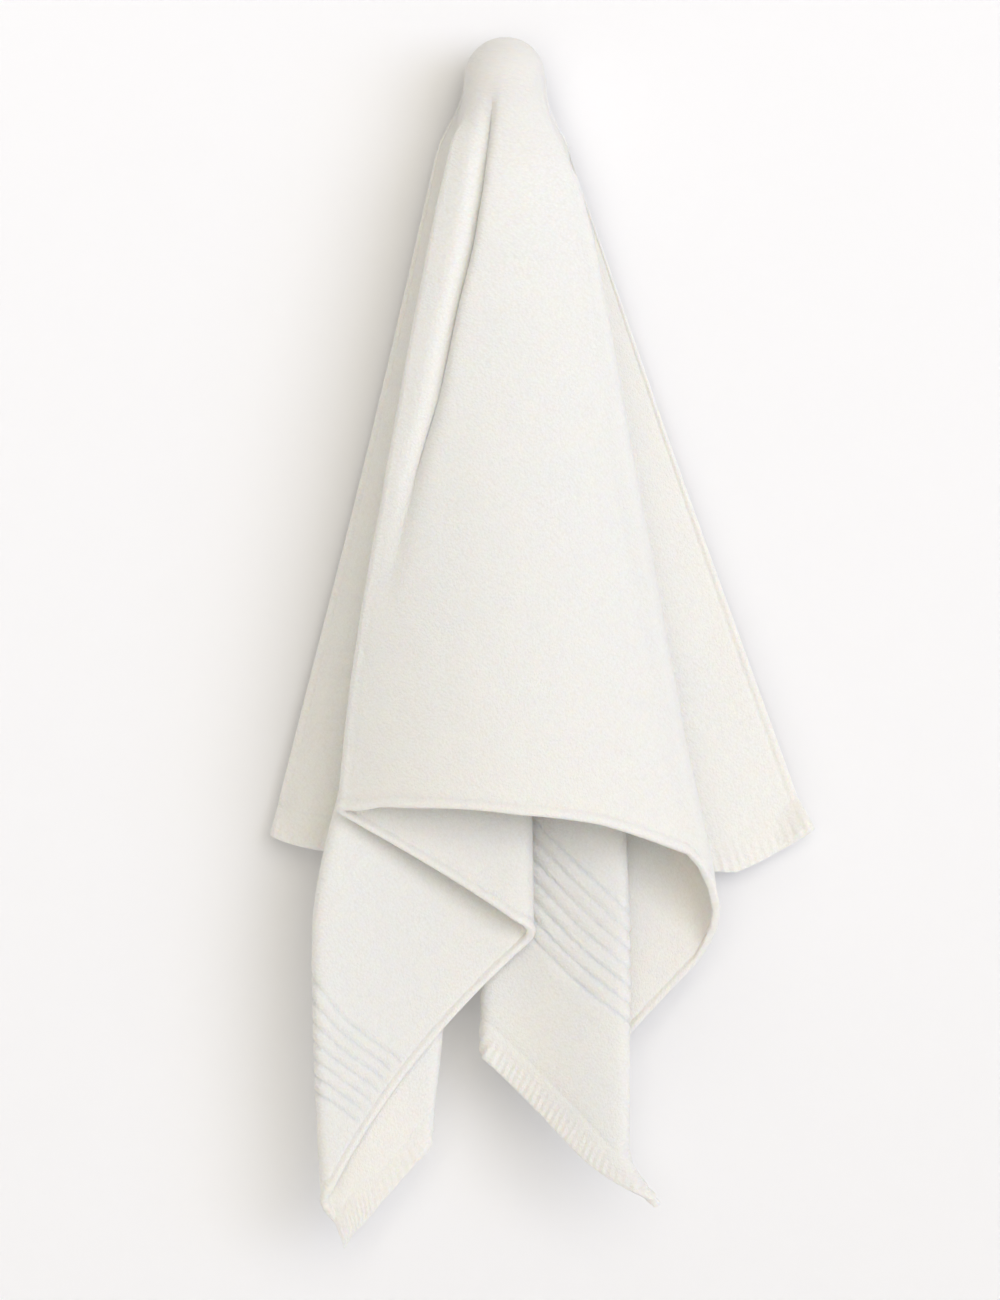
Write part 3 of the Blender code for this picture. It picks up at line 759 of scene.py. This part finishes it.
def half_thickness(flat):
    """Half the cloth's thickness: pile, hems, ribs and the border's grooves."""
    right, down = flat[:, 0], flat[:, 1]
    from_side = np.minimum(TO_FRONT_EDGE - down, down + TO_BACK_EDGE)
    from_end = np.minimum(TO_RIGHT_END - right, right + TO_LEFT_END)
    uneven = [noise.noise(Vector((x * UNEVEN_PATCHES, y * UNEVEN_PATCHES, 0.0))) for x, y in flat]
    pile = HALF_PILE + UNEVENNESS * np.array(uneven)
    along = (from_end + border_wave(right, down) - BORDER_START) / GROOVE_PITCH
    nearest = np.clip(np.round(along), 0, GROOVES - 1)
    inside = (along > -0.5) & (along < GROOVES - 0.5)
    relief = np.interp((along - nearest) * GROOVE_PITCH, *zip(*GROOVE_RELIEF))
    pile = pile + np.where(inside, relief * np.interp(down, *zip(*GROOVES_SHOW)), 0.0)
    swollen = 1 + sum(curl.swelling * near_corner(curl, flat) for curl in CURLS)
    side_hem = swollen * np.interp(from_side / swollen, *zip(*SIDE_THICKNESS))
    end_hem = swollen * np.interp(from_end / swollen, *zip(*END_THICKNESS))
    change = [noise.noise(Vector((x * RIB_CHANGES[0], y * RIB_CHANGES[1], RIB_CHANGE_LEVEL)))
              for x, y in flat]
    swing = (1 + RIB_CHANGE * np.array(change)) * np.cos(2 * np.pi * (TO_FRONT_EDGE - down) / RIB_PITCH)
    end_hem = end_hem + RIB_HEIGHT * swing * np.interp(from_end, *zip(*END_RIBS))
    half = np.where(from_side < SIDE_THICKNESS[-1][0], side_hem, pile)
    half = np.where(from_end < END_THICKNESS[-1][0], end_hem, half)
    corner = (from_side < SIDE_ROLL * swollen) & (from_end < END_THICKNESS[-1][0])
    return np.where(corner, np.minimum(side_hem, end_hem), half)


def bath_towel():
    """Both faces of the cloth, closed round the edge, with two maps: its cloth in metres, and unfolded."""
    columns, cloth = hang_cloth()
    sheet = flat_sheet(columns, cloth)
    sheet.verts.index_update()
    grid = np.array([corner[sheet.verts.layers.float_vector["grid"]][:2] for corner in sheet.verts])
    flat = np.array([corner.co[:2] for corner in sheet.verts])
    faces = [[corner.index for corner in face.verts] for face in sheet.faces]
    rims = []
    for edge in sheet.edges:
        if edge.is_boundary:
            order = [corner.index for corner in edge.link_faces[0].verts]
            first, second = edge.verts[0].index, edge.verts[1].index
            if order[(order.index(first) + 1) % len(order)] != second:
                first, second = second, first
            rims.append((first, second))
    sheet.free()
    place = on_grid(cloth.place, grid)
    outward = on_grid(cloth.outward, grid)
    outward /= np.linalg.norm(outward, axis=1, keepdims=True)
    half = half_thickness(flat)[:, None]
    count = len(place)
    points = np.concatenate((place + outward * half, place - outward * half))
    polygons = faces + [[corner + count for corner in reversed(face)] for face in faces]
    polygons += [[second, first, first + count, second + count] for first, second in rims]
    mesh = bpy.data.meshes.new("bath_towel")
    mesh.from_pydata([tuple(point) for point in points], [], polygons)
    mesh.shade_smooth()
    middle = np.array([(TO_RIGHT_END - TO_LEFT_END) / 2, (TO_FRONT_EDGE - TO_BACK_EDGE) / 2])
    both = np.concatenate((flat, flat))
    corners = np.array([loop.vertex_index for loop in mesh.loops])
    cloth_map = mesh.uv_layers.new(name="cloth")
    cloth_map.data.foreach_set("uv", both[corners].ravel())
    bake_map = mesh.uv_layers.new(name="OFBake")
    unfolded = (both[corners] - middle) * BAKE_SCALE
    side = np.where(corners < count, FRONT_FACE_HEIGHT, BACK_FACE_HEIGHT)
    first_rim = sum(len(polygon) for polygon in polygons[:2 * len(faces)])
    stand = np.zeros_like(unfolded)
    for number, (first, second) in enumerate(rims):
        start = first_rim + 4 * number
        along = flat[second] - flat[first]
        beyond = np.array([-along[1], along[0]]) / max(np.hypot(*along), NEARLY_NOTHING)
        stand[start + 2:start + 4] = beyond * EDGE_STRIP * BAKE_SCALE
        side[start:start + 4] = FRONT_FACE_HEIGHT
    unfolded = unfolded + stand + np.column_stack((np.full(len(side), 0.5), side))
    bake_map.data.foreach_set("uv", unfolded.ravel())
    piece = bpy.data.objects.new("bath_towel", mesh)
    bpy.context.scene.collection.objects.link(piece)
    return piece


LOOP_PITCH = 0.0016             # between the loops of the pile
LOOP_HEIGHT = 0.0009


def ring_spun_cotton_terry():
    """White cotton loops: matt, with a soft rim of light where they stand out, and with painted shade, darker
    and slightly warm, in the hollows between them.

    Over the knob the colour is painted darker, as painted shade on the top of the dome.
    """
    material = bpy.data.materials.new("ring-spun cotton terry")
    material.use_nodes = True
    tree = material.node_tree
    shader = tree.nodes["Principled BSDF"]
    shader.inputs["Roughness"].default_value = 0.95
    shader.inputs["Subsurface Weight"].default_value = 0.7
    shader.inputs["Subsurface Radius"].default_value = (1.0, 0.78, 0.52)
    shader.inputs["Subsurface Scale"].default_value = 0.004
    shader.inputs["Sheen Weight"].default_value = 0.15
    shader.inputs["Sheen Roughness"].default_value = 0.5
    shader.inputs["Sheen Tint"].default_value = linear("#FFFDF8")
    shader.inputs["Specular IOR Level"].default_value = 0.15
    cloth = add_node(tree, "ShaderNodeUVMap", uv_map="cloth").outputs["UV"]
    loops = add_node(tree, "ShaderNodeTexVoronoi", {"Vector": cloth, "Scale": 1 / LOOP_PITCH})
    tufts = add_node(tree, "ShaderNodeTexNoise", {"Vector": cloth, "Scale": 260.0, "Detail": 3.0})
    patches = add_node(tree, "ShaderNodeTexNoise", {"Vector": cloth, "Scale": 22.0, "Detail": 3.0})
    height = add_node(tree, "ShaderNodeMath", {0: loops.outputs["Distance"], 1: tufts.outputs["Fac"]},
                      operation="SUBTRACT")
    bump = add_node(tree, "ShaderNodeBump", {
        "Height": height.outputs["Value"], "Distance": LOOP_HEIGHT, "Strength": 0.5,
    }, invert=True)
    # Painted shade: the hollows between the loops, far from each loop's middle, are painted darker and
    # slightly warm.
    hollow_shade = add_node(tree, "ShaderNodeMix", {
        "Factor": loops.outputs["Distance"], "A": linear("#F8F7F4"), "B": linear("#F0EEE8"),
    }, data_type="RGBA")
    worn = add_node(tree, "ShaderNodeMapRange", {
        "Value": patches.outputs["Fac"], "From Min": 0.35, "From Max": 0.7, "To Min": 0.0, "To Max": 0.35,
    })
    patchy = add_node(tree, "ShaderNodeMix", {
        "Factor": worn.outputs["Result"], "A": hollow_shade.outputs["Result"], "B": linear("#F4F2ED"),
    }, data_type="RGBA")
    # Painted shade: the cloth is painted darker over the knob, most within 0.02 m of its top in the flat
    # cloth, fading out by 0.12 m.
    from_knob = add_node(tree, "ShaderNodeVectorMath", {0: cloth}, operation="LENGTH")
    knob_shade = add_node(tree, "ShaderNodeMapRange", {
        "Value": from_knob.outputs["Value"], "From Min": 0.02, "From Max": 0.12, "To Min": 0.8, "To Max": 0.0,
    })
    colour = add_node(tree, "ShaderNodeMix", {
        "Factor": knob_shade.outputs["Result"], "A": patchy.outputs["Result"], "B": linear("#E6E4DF"),
    }, data_type="RGBA")
    tree.links.new(colour.outputs["Result"], shader.inputs["Base Color"])
    tree.links.new(bump.outputs["Normal"], shader.inputs["Normal"])
    return material


towel = bath_towel()
towel.data.materials.append(ring_spun_cotton_terry())
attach(towel, "root")
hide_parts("towel")


# The stage is a plain pale floor and a plain pale wall. From behind the wall is clear.
FLOOR_HEIGHT = -1.0
FLOOR_HALF = 6.0
WALL_GAP = 0.0006
WALL_HALF = 2.0
WALL_TOP = 1.2


def plain_plaster(name, clear_behind):
    """Matt white emulsion on plaster."""
    material = bpy.data.materials.new(name)
    material.use_nodes = True
    tree = material.node_tree
    shader = tree.nodes["Principled BSDF"]
    shader.inputs["Base Color"].default_value = linear("#FAFAFA")
    shader.inputs["Roughness"].default_value = 0.9
    if clear_behind:
        behind = add_node(tree, "ShaderNodeNewGeometry").outputs["Backfacing"]
        clear = add_node(tree, "ShaderNodeBsdfTransparent")
        mix = add_node(tree, "ShaderNodeMixShader", {
            0: behind, 1: shader.outputs["BSDF"], 2: clear.outputs["BSDF"],
        })
        tree.links.new(mix.outputs["Shader"], tree.nodes["Material Output"].inputs["Surface"])
    return material


def flat_panel(name, corners, material):
    """One flat face of the stage."""
    mesh = bpy.data.meshes.new(name)
    mesh.from_pydata(corners, [], [(0, 1, 2, 3)])
    mesh.materials.append(material)
    panel = bpy.data.objects.new(name, mesh)
    bpy.context.scene.collection.objects.link(panel)


flat_panel("floor", [
    (-FLOOR_HALF, -FLOOR_HALF, FLOOR_HEIGHT),
    (FLOOR_HALF, -FLOOR_HALF, FLOOR_HEIGHT),
    (FLOOR_HALF, FLOOR_HALF, FLOOR_HEIGHT),
    (-FLOOR_HALF, FLOOR_HALF, FLOOR_HEIGHT),
], plain_plaster("pale floor", False))
flat_panel("wall", [
    (-WALL_HALF, WALL_GAP, FLOOR_HEIGHT),
    (WALL_HALF, WALL_GAP, FLOOR_HEIGHT),
    (WALL_HALF, WALL_GAP, WALL_TOP),
    (-WALL_HALF, WALL_GAP, WALL_TOP),
], plain_plaster("pale wall", True))


# Soft studio light: a very broad warm lamp in front, a cooler one at the right, nearly level, and a dim
# surround that is lighter overhead.
def distant_lamp(name, towards, strength, spread, colour):
    """A lamp far off in a direction, as broad as its spread in degrees."""
    lamp = bpy.data.lights.new(name, "SUN")
    lamp.energy = strength
    lamp.angle = math.radians(spread)
    lamp.color = linear(colour)[:3]
    thing = bpy.data.objects.new(name, lamp)
    thing.rotation_euler = Vector(towards).to_track_quat("Z", "Y").to_euler()
    bpy.context.scene.collection.objects.link(thing)


distant_lamp("front lamp", towards=(0.26, -0.95, -0.02), strength=2.14, spread=62.0, colour="#FFF9EE")
distant_lamp("side lamp", towards=(0.60, -0.80, -0.04), strength=0.94, spread=45.0, colour="#B5CBFF")
world = bpy.data.worlds.new("pale surround")
world.use_nodes = True
tree = world.node_tree
place = add_node(tree, "ShaderNodeTexCoord").outputs["Generated"]
height = add_node(tree, "ShaderNodeSeparateXYZ", {"Vector": place}).outputs["Z"]
overhead = add_node(tree, "ShaderNodeMapRange", {"Value": height})
shade = add_node(tree, "ShaderNodeMix", {
    "Factor": overhead.outputs["Result"], "A": linear("#857E74"), "B": linear("#DCDBD8"),
}, data_type="RGBA")
tree.links.new(shade.outputs["Result"], tree.nodes["Background"].inputs["Color"])
bpy.context.scene.world = world


# The camera looks straight at the wall, level with the middle of the towel.
CAMERA_DISTANCE = 7.0
TOWEL_REACH = 0.090             # from the wall, where the photograph's frame is measured
PHOTO_HEIGHT = 0.936            # of that frame
CAMERA_MIDDLE = (-0.0036, -0.413)

camera = bpy.data.objects.new("camera", bpy.data.cameras.new("camera"))
camera.location = (CAMERA_MIDDLE[0], -TOWEL_REACH - CAMERA_DISTANCE, CAMERA_MIDDLE[1])
camera.rotation_euler = (math.pi / 2, 0.0, 0.0)
camera.data.sensor_width = 36.0
camera.data.lens = camera.data.sensor_width * CAMERA_DISTANCE / PHOTO_HEIGHT
bpy.context.scene.collection.objects.link(camera)
bpy.context.scene.camera = camera
bpy.context.scene.view_settings.view_transform = "Standard"
